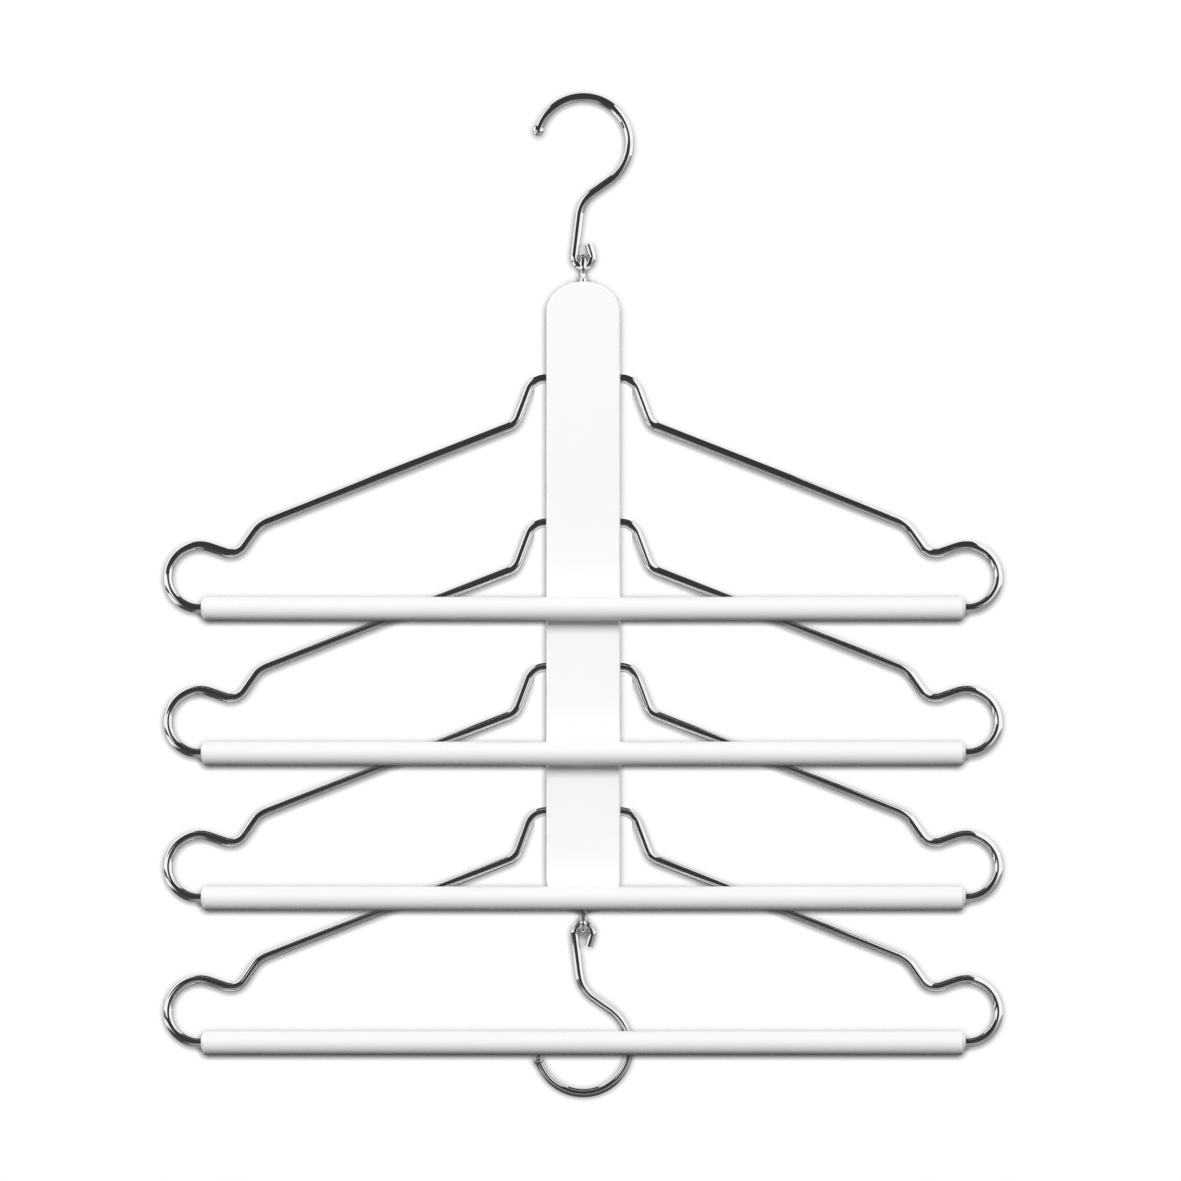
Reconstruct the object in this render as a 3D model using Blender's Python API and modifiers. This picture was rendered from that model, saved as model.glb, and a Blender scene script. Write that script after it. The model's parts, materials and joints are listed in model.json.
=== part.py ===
"""Four-tier multi hanger: chrome wire hangers that swing in a white spine, with a hook linked to each end.

It hangs upright: +Z is up and -Y is the front. The origin is the inside top of the upper hook, where a rail
carries it. Sizes are in metres and angles in degrees.
"""
import math

import bmesh
import bpy
from mathutils import Matrix, Vector

# Fits: the gap between still neighbours, the radial gap round a turning wire, and the play of a link
GAP = 0.0003
RUNNING_GAP = 0.00035
LINK_PLAY = 0.0003

# Spine
SPINE_WIDTH = 0.0368
SPINE_THICKNESS = 0.015
SPINE_END_RISE = 0.0155
SPINE_END_TO_PIVOT = 0.0484
SPINE_EDGE_ROUND = 0.0012

# Hangers
HANGER_COUNT = 4
PIVOT_SPACING = 0.07215
HANGER_WIRE = 0.0045
HANGER_SPAN = 0.4187
HANGER_DROP = 0.1157
NECK_OFFSET = 0.0068
NECK_FLARE = 0.00855
NECK_DROP = 0.0231
NECK_TOP_BEND = 0.009
NECK_FOOT_BEND = 0.0085
SHOULDER_END_BEND = 0.014
NOTCH_FALL = 0.0193
NOTCH_FALL_ANGLE = 55.3
NOTCH_BEND = 0.008
NOTCH_RISE = 0.0142
NOTCH_RISE_ANGLE = 19.0
LOOP_RADIUS = 0.0158

# Bars
BAR_DIAMETER = 0.0118
BAR_END_INSET = 0.0009
BAR_TAPER = 0.0017
BAR_TIP_WALL = 0.00045
BAR_SOCKET = 0.030
SOCKET_END_GAP = 0.0005

# Hooks
HOOK_WIRE = 0.0042
HOOK_RADIUS = 0.0231
HOOK_TIP_ANGLE = 156.0
HOOK_TIP_STRAIGHT = 0.001
HOOK_BEND_BELOW_BOW = 0.0058
HOOK_BEND_SIDE = 0.001
HOOK_BEND = 0.017
HOOK_STEM = 0.02795
HOOK_EYE_LEAVE_ANGLE = 17.0
HOOK_EYE_END = 0.0055
BALL_DIAMETER = 0.0055
BALL_SEAT_HEIGHT = 0.0018
SPIGOT_DIAMETER = 0.0018
SPIGOT_LENGTH = 0.0018
SPIGOT_CHAMFER = 0.0002

# Eye pins, which join each hook to the spine
EYE_WIRE = 0.0034
EYE_SLACK = 0.0005
EYE_STAND_OFF = 0.0012
PIN_SHANK = 0.0037
PIN_HEAD_DIAMETER = 0.0064
PIN_HEAD_HEIGHT = 0.0025
WASHER_DIAMETER = 0.0070
WASHER_THICKNESS = 0.001
POCKET_DEPTH = 0.008

# Screws, which hold the two halves of the spine together from behind
SCREW_SHANK = 0.003
SCREW_HEAD = 0.0064
SCREW_TIP_WALL = 0.0032
SCREW_RIM = 0.0003
SCREW_SINK = 0.0002

# Fineness of the round shapes
ARC_STEP = 18.0
ARC_END_SHARE = 0.35
WIRE_SIDES_LEVEL = 4
BAR_SIDES = 24
SMALL_SIDES = 16
RING_STEPS = 24
RING_SIDES = 10
END_STEPS = 20
EDGE_ROUND_STEPS = 3
SHARP_ANGLE = 40.0
FLAT_ANGLE = 1.0
WELD = 0.000001

FINISHES = {
    "chrome": ((0.78, 0.79, 0.80), 0.07, 1.0),
    "white_lacquer": ((0.90, 0.90, 0.905), 0.38, 0.0),
    "white_bar": ((0.91, 0.91, 0.91), 0.48, 0.0),
    "zinc": ((0.62, 0.63, 0.64), 0.32, 1.0),
}

# Places that follow from the sizes above
hook_eye_radius = (EYE_WIRE + HOOK_WIRE) / 2 + GAP + LINK_PLAY
bow_z = HOOK_WIRE / 2 - HOOK_RADIUS
hook_bend_z = bow_z - HOOK_RADIUS - HOOK_BEND_BELOW_BOW
top_link_z = hook_bend_z - HOOK_STEM - hook_eye_radius
eye_inner_radius = HOOK_WIRE / 2 + GAP + EYE_SLACK
eye_to_spine = EYE_SLACK + eye_inner_radius + EYE_WIRE + EYE_STAND_OFF
spine_top = top_link_z - eye_to_spine
spine_bottom = spine_top - 2 * SPINE_END_TO_PIVOT - (HANGER_COUNT - 1) * PIVOT_SPACING
bottom_link_z = spine_bottom - eye_to_spine
pivot_heights = [spine_top - SPINE_END_TO_PIVOT - tier * PIVOT_SPACING for tier in range(HANGER_COUNT)]
loop_x = HANGER_SPAN / 2 - HANGER_WIRE / 2 - LOOP_RADIUS
bar_half_length = loop_x - BAR_END_INSET


def resting_tilt():
    """Forward lean of a hanger whose bar lies on the spine and in front of the next hanger's wire."""
    on_spine = (SPINE_THICKNESS / 2 + BAR_DIAMETER / 2 + GAP) / HANGER_DROP
    before_next_wire = (BAR_DIAMETER / 2 + HANGER_WIRE / 2 + GAP) / PIVOT_SPACING
    return math.asin(max(on_spine, before_next_wire))


def clear_scene():
    for item in list(bpy.data.objects):
        bpy.data.objects.remove(item)


def new_collection(name):
    collection = bpy.data.collections.new(name)
    bpy.context.scene.collection.children.link(collection)
    return collection


clear_scene()
parts = new_collection("multi_hanger")
cutters = new_collection("multi_hanger_cutters")


def give_finish(piece, finish):
    """Give a piece a material of its own."""
    colour, roughness, metallic = FINISHES[finish]
    material = bpy.data.materials.new(f"{piece.name}_{finish}")
    material.use_nodes = True
    shader = material.node_tree.nodes["Principled BSDF"]
    shader.inputs["Base Color"].default_value = (*colour, 1.0)
    shader.inputs["Roughness"].default_value = roughness
    shader.inputs["Metallic"].default_value = metallic
    piece.data.materials.clear()
    piece.data.materials.append(material)


def add_empty(name, z, turn_x):
    """An empty on a joint's axis, which carries the pieces that move there."""
    empty = bpy.data.objects.new(name, None)
    empty.location = (0, 0, z)
    empty.rotation_euler = (turn_x, 0, 0)
    empty.empty_display_size = BAR_DIAMETER
    parts.objects.link(empty)
    return empty


def arc(centre, radius, start, end):
    """Points on a circle from one angle to another, in radians, at whole steps of the circle and at both ends."""
    step = math.radians(ARC_STEP)
    low, high = sorted((start, end))
    first = math.ceil(low / step + ARC_END_SHARE)
    last = math.floor(high / step - ARC_END_SHARE)
    angles = [low] + [number * step for number in range(first, last + 1)] + [high]
    if start > end:
        angles.reverse()
    return [centre + radius * Vector((math.cos(angle), math.sin(angle))) for angle in angles]


def bend(before, corner, after, radius):
    """Points of the round bend at a corner, between the straight from before and the straight to after."""
    inward = (corner - before).normalized()
    outward = (after - corner).normalized()
    turn = math.atan2(inward.x * outward.y - inward.y * outward.x, inward.dot(outward))
    start = corner - inward * radius * math.tan(abs(turn) / 2)
    to_centre = Vector((-inward.y, inward.x)) * math.copysign(radius, turn)
    start_angle = math.atan2(-to_centre.y, -to_centre.x)
    return arc(start + to_centre, radius, start_angle, start_angle + turn)


def tangent_angle(centre, radius, point, side):
    """Angle on a circle where a line from the point touches it, on its left (1) or right (-1) side."""
    offset = point - centre
    return math.atan2(offset.y, offset.x) + side * math.acos(radius / offset.length)


def swept_wire(name, path, diameter, thickness=None):
    """A round wire along points of the XZ plane, with its share of the full thickness at each point."""
    curve = bpy.data.curves.new(name, "CURVE")
    curve.dimensions = "3D"
    curve.bevel_depth = diameter / 2
    curve.bevel_resolution = WIRE_SIDES_LEVEL
    curve.use_fill_caps = True
    spline = curve.splines.new("POLY")
    spline.points.add(len(path) - 1)
    for point, place in zip(spline.points, path):
        point.co = (place.x, 0, place.y, 1)
    for point, share in zip(spline.points, thickness or []):
        point.radius = share
    spline.use_smooth = True
    return bpy.data.objects.new(name, curve)


def turned(name, profile, sides=SMALL_SIDES, closed=False):
    """A shape turned about Z from a profile of (radius, z), top to bottom on its outer side."""
    mesh = bpy.data.meshes.new(name)
    edges = [(index, index + 1) for index in range(len(profile) - 1)]
    if closed:
        edges.append((len(profile) - 1, 0))
    mesh.from_pydata([(radius, 0, z) for radius, z in profile], edges, [])
    piece = bpy.data.objects.new(name, mesh)
    screw = piece.modifiers.new("turn", "SCREW")
    screw.axis = "Z"
    screw.steps = sides
    screw.render_steps = sides
    screw.use_merge_vertices = True
    screw.merge_threshold = WELD
    return piece


def cut_with(piece, cutter, operation="DIFFERENCE"):
    """Take a cutter out of a piece, or join it on."""
    boolean = piece.modifiers.new(cutter.name, "BOOLEAN")
    boolean.operation = operation
    boolean.solver = "EXACT"
    boolean.object = cutter


def as_cutter(piece):
    piece.display_type = "WIRE"
    piece.hide_render = True
    cutters.objects.link(piece)
    return piece


def hanger_path():
    """Centre line of one hanger's wire: pivot, necks, shoulders, notches, loops and the ends in the bar."""
    neck_top = Vector((SPINE_WIDTH / 2 + NECK_OFFSET, 0))
    neck_foot = neck_top + Vector((NECK_FLARE, -NECK_DROP))
    loop_centre = Vector((loop_x, LOOP_RADIUS - HANGER_DROP))
    rise = math.radians(NOTCH_RISE_ANGLE)
    fall = math.radians(NOTCH_FALL_ANGLE)
    loop_start = loop_centre + LOOP_RADIUS * Vector((-math.sin(rise), math.cos(rise)))
    notch = loop_start - NOTCH_RISE * Vector((math.cos(rise), math.sin(rise)))
    shoulder_end = notch + NOTCH_FALL * Vector((-math.cos(fall), math.sin(fall)))
    pivot = Vector((0, 0))
    half = bend(pivot, neck_top, neck_foot, NECK_TOP_BEND)
    half += bend(neck_top, neck_foot, shoulder_end, NECK_FOOT_BEND)
    half += bend(neck_foot, shoulder_end, notch, SHOULDER_END_BEND)
    half += bend(shoulder_end, notch, loop_start, NOTCH_BEND)
    half += arc(loop_centre, LOOP_RADIUS, math.pi / 2 + rise, -math.pi / 2)
    half.append(Vector((bar_half_length - BAR_SOCKET, -HANGER_DROP)))
    mirrored = [Vector((-point.x, point.y)) for point in reversed(half)]
    return mirrored + half


def make_bar(name):
    """A round bar with a taper and a blind socket at each end."""
    radius = BAR_DIAMETER / 2
    socket_radius = HANGER_WIRE / 2 + GAP
    tip_radius = socket_radius + BAR_TIP_WALL
    socket_foot = bar_half_length - BAR_SOCKET - SOCKET_END_GAP
    upper = [
        (0, socket_foot),
        (socket_radius, socket_foot),
        (socket_radius, bar_half_length),
        (tip_radius, bar_half_length),
        (radius, bar_half_length - BAR_TAPER),
    ]
    lower = [(r, -z) for r, z in reversed(upper)]
    return turned(name, upper + lower, BAR_SIDES)


def make_hanger(tier, pivot_z):
    """One wire hanger and its bar, carried by an empty on the pivot."""
    name = f"hanger_{tier}"
    pivot = add_empty(f"{name}_pivot", pivot_z, -resting_tilt())
    wire = swept_wire(f"{name}_wire", hanger_path(), HANGER_WIRE)
    bar = make_bar(f"{name}_bar")
    bar.location = (0, 0, -HANGER_DROP)
    bar.rotation_euler = (0, math.pi / 2, 0)
    for piece, finish in ((wire, "chrome"), (bar, "white_bar")):
        piece.parent = pivot
        parts.objects.link(piece)
        give_finish(piece, finish)


def hook_tip():
    """Angle where the bow ends, the wire's shoulder just past it, and the direction the tip points in."""
    angle = math.radians(HOOK_TIP_ANGLE)
    direction = Vector((-math.sin(angle), math.cos(angle)))
    bow_end = Vector((HOOK_RADIUS * math.cos(angle), bow_z - top_link_z + HOOK_RADIUS * math.sin(angle)))
    return angle, bow_end + direction * HOOK_TIP_STRAIGHT, direction


def hook_path():
    """Centre line of a hook from its tip to the end of its open eye, from the link's axis up."""
    eye_centre = Vector((0, hook_eye_radius))
    stem_bend = eye_centre + Vector((-HOOK_BEND_SIDE, HOOK_STEM))
    bow_centre = Vector((0, bow_z - top_link_z))
    tip_angle, tip, tip_direction = hook_tip()
    spigot = [tip + tip_direction * length for length in (SPIGOT_LENGTH, SPIGOT_CHAMFER, 0)]
    bow_end = tangent_angle(bow_centre, HOOK_RADIUS, stem_bend, 1)
    bow = arc(bow_centre, HOOK_RADIUS, tip_angle, bow_end)
    eye_start = tangent_angle(eye_centre, hook_eye_radius, stem_bend, 1)
    eye_end = math.radians(HOOK_EYE_LEAVE_ANGLE) + 2 * math.pi
    eye = arc(eye_centre, hook_eye_radius, eye_start, eye_end)
    stem = bend(bow[-1], stem_bend, eye[0], HOOK_BEND)
    free_end = eye[-1] + HOOK_EYE_END * Vector((-math.sin(eye_end), math.cos(eye_end)))
    return spigot + bow + stem + eye + [free_end]


def make_ball(name):
    """The ball on a hook's tip: a flat seat at its foot and a blind hole that takes the wire's spigot."""
    radius = BALL_DIAMETER / 2
    hole_radius = SPIGOT_DIAMETER / 2 + GAP
    seat_angle = -math.asin(BALL_SEAT_HEIGHT / radius)
    steps = SMALL_SIDES // 2
    angles = [math.pi / 2 + (seat_angle - math.pi / 2) * step / steps for step in range(steps + 1)]
    profile = [(0, radius)]
    profile += [(radius * math.cos(angle), radius * math.sin(angle)) for angle in angles[1:]]
    hole_foot = SPIGOT_LENGTH - BALL_SEAT_HEIGHT
    profile += [(hole_radius, -BALL_SEAT_HEIGHT), (hole_radius, hole_foot), (0, hole_foot)]
    return turned(name, profile)


def make_hook(end, link_z, turn_x):
    """A hook with its ball, carried by an empty on the link's axis."""
    pivot = add_empty(f"{end}_hook_pivot", link_z, turn_x)
    path = hook_path()
    spigot_share = SPIGOT_DIAMETER / HOOK_WIRE
    wire = swept_wire(f"{end}_hook_wire", path, HOOK_WIRE, [spigot_share, spigot_share])
    ball = make_ball(f"{end}_hook_ball")
    tip_angle, tip, tip_direction = hook_tip()
    ball_centre = tip + tip_direction * (BALL_SEAT_HEIGHT + GAP)
    ball.location = (ball_centre.x, 0, ball_centre.y)
    ball.rotation_euler = (0, -tip_angle, 0)
    for piece in (wire, ball):
        piece.parent = pivot
        parts.objects.link(piece)
        give_finish(piece, "chrome")


def pin_levels():
    """Heights from the link's axis down: pocket roof, washer top, head top, head foot and pocket foot."""
    roof = -eye_to_spine - POCKET_DEPTH
    washer_top = roof - GAP
    head_top = washer_top - WASHER_THICKNESS - GAP
    head_foot = head_top - PIN_HEAD_HEIGHT
    return roof, washer_top, head_top, head_foot, head_foot - GAP


def make_eye_pin(end, link_z, turn_x):
    """A closed eye on a headed pin, which turns in the spine, and the washer under its head."""
    roof, washer_top, head_top, head_foot, pocket_foot = pin_levels()
    pivot = add_empty(f"{end}_eye_pivot", link_z, turn_x)
    eye_radius = eye_inner_radius + EYE_WIRE / 2
    bpy.ops.mesh.primitive_torus_add(
        major_radius=eye_radius,
        minor_radius=EYE_WIRE / 2,
        major_segments=RING_STEPS,
        minor_segments=RING_SIDES,
    )
    eye = bpy.context.active_object
    eye.name = f"{end}_eye_pin"
    eye.data.transform(Matrix.Translation((0, 0, -EYE_SLACK)) @ Matrix.Rotation(math.pi / 2, 4, "Y"))
    for collection in list(eye.users_collection):
        collection.objects.unlink(eye)
    shank_top = -EYE_SLACK - eye_radius
    shank = turned(f"{end}_eye_shank", [
        (0, shank_top),
        (PIN_SHANK / 2, shank_top),
        (PIN_SHANK / 2, head_top),
        (PIN_HEAD_DIAMETER / 2, head_top),
        (PIN_HEAD_DIAMETER / 2, head_foot),
        (0, head_foot),
    ])
    as_cutter(shank).parent = pivot
    cut_with(eye, shank, "UNION")
    hole_radius = PIN_SHANK / 2 + RUNNING_GAP
    washer_foot = washer_top - WASHER_THICKNESS
    washer = turned(f"{end}_eye_washer", [
        (WASHER_DIAMETER / 2, washer_top),
        (WASHER_DIAMETER / 2, washer_foot),
        (hole_radius, washer_foot),
        (hole_radius, washer_top),
    ], closed=True)
    for piece, finish in ((eye, "chrome"), (washer, "zinc")):
        piece.parent = pivot
        parts.objects.link(piece)
        give_finish(piece, finish)
    pocket_radius = max(WASHER_DIAMETER, PIN_HEAD_DIAMETER) / 2 + RUNNING_GAP
    pocket = turned(f"{end}_pin_pocket", [
        (0, 0),
        (hole_radius, 0),
        (hole_radius, roof),
        (pocket_radius, roof),
        (pocket_radius, pocket_foot),
        (0, pocket_foot),
    ])
    as_cutter(pocket).parent = pivot
    return pocket


def screw_profile(shank_radius, head_radius, head_y, tip_y, rim):
    """Profile of a countersunk screw along the depth of the spine, from its head's face to its tip."""
    taper = head_radius - shank_radius
    return [
        (0, head_y),
        (head_radius, head_y),
        (head_radius, head_y - rim),
        (shank_radius, head_y - rim - taper),
        (shank_radius, tip_y + shank_radius),
        (0, tip_y),
    ]


def screw_heights():
    """One screw between each two neighbours in the row of pin pockets and pivots."""
    pocket_foot = pin_levels()[-1]
    rows = [top_link_z + pocket_foot] + pivot_heights + [bottom_link_z - pocket_foot]
    return [(upper + lower) / 2 for upper, lower in zip(rows, rows[1:])]


def make_screws():
    """The countersunk screws, and the cutters of their holes."""
    head_y = SPINE_THICKNESS / 2 - SCREW_SINK
    tip_y = SCREW_TIP_WALL - SPINE_THICKNESS / 2
    screw_shape = screw_profile(SCREW_SHANK / 2, SCREW_HEAD / 2, head_y, tip_y, SCREW_RIM)
    hole_rim = SCREW_RIM + SCREW_SINK + GAP
    hole_shape = screw_profile(
        SCREW_SHANK / 2 + GAP, SCREW_HEAD / 2 + GAP, SPINE_THICKNESS / 2 + GAP, tip_y - GAP, hole_rim
    )
    holes = []
    for number, z in enumerate(screw_heights(), start=1):
        screw = turned(f"spine_screw_{number}", screw_shape)
        parts.objects.link(screw)
        give_finish(screw, "zinc")
        hole = as_cutter(turned(f"screw_hole_{number}", hole_shape))
        for piece in (screw, hole):
            piece.location = (0, 0, z)
            piece.rotation_euler = (-math.pi / 2, 0, 0)
        holes.append(hole)
    return holes


def journal_cutter(tier, pivot_z):
    """The round way through the spine in which a hanger's wire turns."""
    radius = HANGER_WIRE / 2 + RUNNING_GAP
    reach = SPINE_WIDTH
    journal = turned(f"journal_{tier}", [(0, reach), (radius, reach), (radius, -reach), (0, -reach)])
    journal.location = (0, 0, pivot_z)
    journal.rotation_euler = (0, math.pi / 2, 0)
    return as_cutter(journal)


def spine_outline():
    """Outline of the spine: straight sides and an end that is half an ellipse at top and bottom."""
    half_width = SPINE_WIDTH / 2
    shoulder = (spine_top - spine_bottom) / 2 - SPINE_END_RISE
    angles = [math.pi * step / END_STEPS for step in range(END_STEPS + 1)]
    upper = [(half_width * math.cos(angle), shoulder + SPINE_END_RISE * math.sin(angle)) for angle in angles]
    return upper + [(-x, -y) for x, y in upper]


def make_spine_half(name, side, holes):
    """One half of the spine, on the front (-1) or back (1) side of its seam."""
    depth = SPINE_THICKNESS / 2 - GAP / 2
    curve = bpy.data.curves.new(name, "CURVE")
    curve.dimensions = "2D"
    curve.fill_mode = "BOTH"
    curve.extrude = depth / 2
    points = spine_outline()
    spline = curve.splines.new("POLY")
    spline.points.add(len(points) - 1)
    spline.use_cyclic_u = True
    for point, (x, y) in zip(spline.points, points):
        point.co = (x, y, 0, 1)
    outline = bpy.data.objects.new(name, curve)
    outline.location = (0, side * (GAP / 2 + depth / 2), (spine_top + spine_bottom) / 2)
    outline.rotation_euler = (math.pi / 2, 0, 0)
    parts.objects.link(outline)
    depsgraph = bpy.context.evaluated_depsgraph_get()
    mesh = bpy.data.meshes.new_from_object(outline.evaluated_get(depsgraph))
    place = outline.matrix_world.copy()
    bpy.data.objects.remove(outline)
    body = bmesh.new()
    body.from_mesh(mesh)
    bmesh.ops.remove_doubles(body, verts=body.verts, dist=WELD)
    flat = math.radians(FLAT_ANGLE)
    bmesh.ops.dissolve_limit(body, angle_limit=flat, verts=body.verts, edges=body.edges)
    weight = body.edges.layers.float.new("bevel_weight_edge")
    outer_face = -side * depth / 2
    for edge in body.edges:
        on_outer_face = all(abs(vert.co.z - outer_face) < WELD for vert in edge.verts)
        edge[weight] = 1.0 if on_outer_face else 0.0
    body.to_mesh(mesh)
    body.free()
    half = bpy.data.objects.new(name, mesh)
    half.matrix_world = place
    parts.objects.link(half)
    rounding = half.modifiers.new("round_edge", "BEVEL")
    rounding.limit_method = "WEIGHT"
    rounding.width = SPINE_EDGE_ROUND
    rounding.segments = EDGE_ROUND_STEPS
    for hole in holes:
        cut_with(half, hole)
    give_finish(half, "white_lacquer")


def shade_round_pieces():
    """Smooth shading that keeps the sharp rims."""
    for piece in parts.objects:
        if piece.type == "MESH":
            piece.data.shade_smooth()
            piece.data.set_sharp_from_angle(angle=math.radians(SHARP_ANGLE))


def make_multi_hanger():
    make_hook("top", top_link_z, 0.0)
    make_hook("bottom", bottom_link_z, math.pi)
    holes = [make_eye_pin("top", top_link_z, 0.0), make_eye_pin("bottom", bottom_link_z, math.pi)]
    for tier, pivot_z in enumerate(pivot_heights, start=1):
        make_hanger(tier, pivot_z)
        holes.append(journal_cutter(tier, pivot_z))
    holes += make_screws()
    make_spine_half("spine_front", -1, holes)
    make_spine_half("spine_back", 1, holes)
    shade_round_pieces()


make_multi_hanger()
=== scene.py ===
"""Looks of the four-tier multi hanger: bright chrome wire, a satin white spine and matt white bars.

Metres, +Z up and -Y the front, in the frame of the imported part. Angles are in degrees unless a comment says
otherwise.
"""
import json
import math

import bmesh
import bpy
from mathutils import Matrix, Vector


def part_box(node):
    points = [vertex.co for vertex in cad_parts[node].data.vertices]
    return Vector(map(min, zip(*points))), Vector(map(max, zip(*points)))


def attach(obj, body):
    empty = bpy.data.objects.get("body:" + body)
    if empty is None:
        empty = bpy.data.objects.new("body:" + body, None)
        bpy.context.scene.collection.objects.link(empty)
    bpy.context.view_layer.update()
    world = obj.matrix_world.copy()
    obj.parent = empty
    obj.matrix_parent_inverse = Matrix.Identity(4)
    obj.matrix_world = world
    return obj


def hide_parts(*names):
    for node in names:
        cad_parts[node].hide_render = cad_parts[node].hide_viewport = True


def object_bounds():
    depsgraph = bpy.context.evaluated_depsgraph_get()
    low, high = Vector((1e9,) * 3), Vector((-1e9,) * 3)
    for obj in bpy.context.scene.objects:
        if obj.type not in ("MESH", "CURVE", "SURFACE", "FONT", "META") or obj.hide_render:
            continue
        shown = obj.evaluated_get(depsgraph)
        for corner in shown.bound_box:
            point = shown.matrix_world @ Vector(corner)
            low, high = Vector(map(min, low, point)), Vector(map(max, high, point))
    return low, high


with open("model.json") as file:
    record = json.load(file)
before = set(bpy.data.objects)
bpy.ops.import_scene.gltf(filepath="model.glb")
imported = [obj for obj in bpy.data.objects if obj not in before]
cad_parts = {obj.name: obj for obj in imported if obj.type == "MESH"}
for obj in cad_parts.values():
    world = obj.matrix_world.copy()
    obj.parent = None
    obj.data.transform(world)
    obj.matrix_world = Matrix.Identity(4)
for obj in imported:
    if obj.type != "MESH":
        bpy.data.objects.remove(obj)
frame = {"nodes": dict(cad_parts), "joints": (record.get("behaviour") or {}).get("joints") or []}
cad_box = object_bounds()

# Wire bends of a hanger, from the spine outwards
HANGER_WIRE = 0.0045
NECK_OFFSET = 0.0068
NECK_FLARE = 0.00855
NECK_DROP = 0.0231
NECK_TOP_BEND = 0.009
NECK_FOOT_BEND = 0.0085
SHOULDER_END_BEND = 0.014
NOTCH_FALL = 0.0193
NOTCH_FALL_ANGLE = 55.3
NOTCH_BEND = 0.008
NOTCH_RISE = 0.0142
NOTCH_RISE_ANGLE = 19.0
LOOP_RADIUS = 0.0158

# Bars
BAR_END_INSET = 0.0009
BAR_TAPER = 0.0017
BAR_TIP_WALL = 0.00045
BAR_SOCKET = 0.030
SOCKET_END_GAP = 0.0005
SOCKET_CLEARANCE = 0.0003
BAR_EDGE_ROUND = 0.00035
BAR_LIP_ROUND = 0.00015

# Hooks
HOOK_WIRE = 0.0042
HOOK_RADIUS = 0.0231
HOOK_TIP_ANGLE = 156.0
HOOK_TIP_STRAIGHT = 0.001
HOOK_BEND_SIDE = 0.001
HOOK_BEND = 0.017
HOOK_STEM = 0.02795
HOOK_EYE_LEAVE_ANGLE = 17.0
HOOK_EYE_END = 0.0055
LINK_GAP = 0.0006
BALL_DIAMETER = 0.0055
BALL_SEAT_HEIGHT = 0.0018
BALL_SEAT_GAP = 0.0003
SPIGOT_DIAMETER = 0.0018
SPIGOT_LENGTH = 0.0018
WIRE_CHAMFER = 0.00035

# Eye pins and the pockets in which their heads turn
EYE_WIRE = 0.0034
EYE_SLACK = 0.0005
EYE_STAND_OFF = 0.0012
PIN_SHANK = 0.0037
PIN_HEAD_DIAMETER = 0.0064
PIN_HEAD_HEIGHT = 0.0025
PIN_EDGE_ROUND = 0.0002
WASHER_DIAMETER = 0.0070
WASHER_THICKNESS = 0.001
POCKET_DEPTH = 0.008
RUNNING_GAP = 0.00035
GAP = 0.0003

# Spine
SPINE_END_RISE = 0.0155
SPINE_EDGE_ROUND = 0.0012

# Screws
SCREW_SHANK = 0.003
SCREW_HEAD = 0.0064
SCREW_RIM = 0.0003
SCREW_SINK = 0.0002
SCREW_TIP_WALL = 0.0032
RECESS_SPAN = 0.0034
RECESS_WIDTH = 0.0008
RECESS_DEPTH = 0.0013
RECESS_DRAFT = 0.55
SCREW_TURN_SEED = 4

# Fineness of the round shapes
ARC_STEP = 3.0
WIRE_SIDES = 32
BAR_SIDES = 72
SMALL_SIDES = 48
OUTLINE_STEPS = 72
EDGE_STEPS = 6
WELD = 0.000001
SHARP_ANGLE = 38.0

# Chrome: noise scales across and along, tints, roughness and relief
CHROME_HAZE = (90, 90, 90)
CHROME_LINES = (2600, 2600, 45)
CHROME_WAVES = (160, 160, 160)
CHROME_TINTS = ((0.90, 0.90, 0.915), (0.94, 0.94, 0.95))
CHROME_ROUGHNESS = (0.035, 0.08)
CHROME_LINE_RELIEF = (0.000004, 0.5)
CHROME_WAVE_RELIEF = (0.00008, 0.15)

# White lacquer of the spine
LACQUER_CLOUDS = (28, 28, 12)
LACQUER_STROKES = (700, 700, 22)
LACQUER_PEEL = (850, 850, 850)
LACQUER_TINTS = ((0.925, 0.910, 0.930), (0.950, 0.935, 0.955))
LACQUER_ROUGHNESS = (0.34, 0.46)
LACQUER_STROKE_RELIEF = (0.000025, 0.5)
LACQUER_PEEL_RELIEF = (0.00003, 0.45)
LACQUER_IOR = 1.48

# White of the bars
BAR_CLOUDS = (14, 60, 60)
BAR_GRAIN = (55, 1300, 1300)
BAR_TOOTH = (1800, 1800, 1800)
BAR_TINTS = ((0.855, 0.849, 0.853), (0.885, 0.879, 0.883))
BAR_ROUGHNESS = (0.50, 0.64)
BAR_GRAIN_RELIEF = (0.00004, 0.5)
BAR_TOOTH_RELIEF = (0.00002, 0.4)
BAR_IOR = 1.46

# Zinc of the screws and washers
ZINC_BLOTCHES = (500, 500, 500)
ZINC_RINGS = 900.0
ZINC_RING_WANDER = 0.6
ZINC_TINTS = ((0.58, 0.59, 0.60), (0.68, 0.69, 0.70))
ZINC_ROUGHNESS = (0.24, 0.38)
ZINC_RING_RELIEF = (0.00002, 0.4)

# The photograph's framing: pixels per metre, its size, and the pixel of the part's origin
PHOTO_SCALE = 2000.0
PHOTO_SIZE = 1181
ORIGIN_PIXEL = (583.3, 101.5)
CAMERA_DISTANCE = 4.0
CAMERA_SENSOR = 0.036

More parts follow.
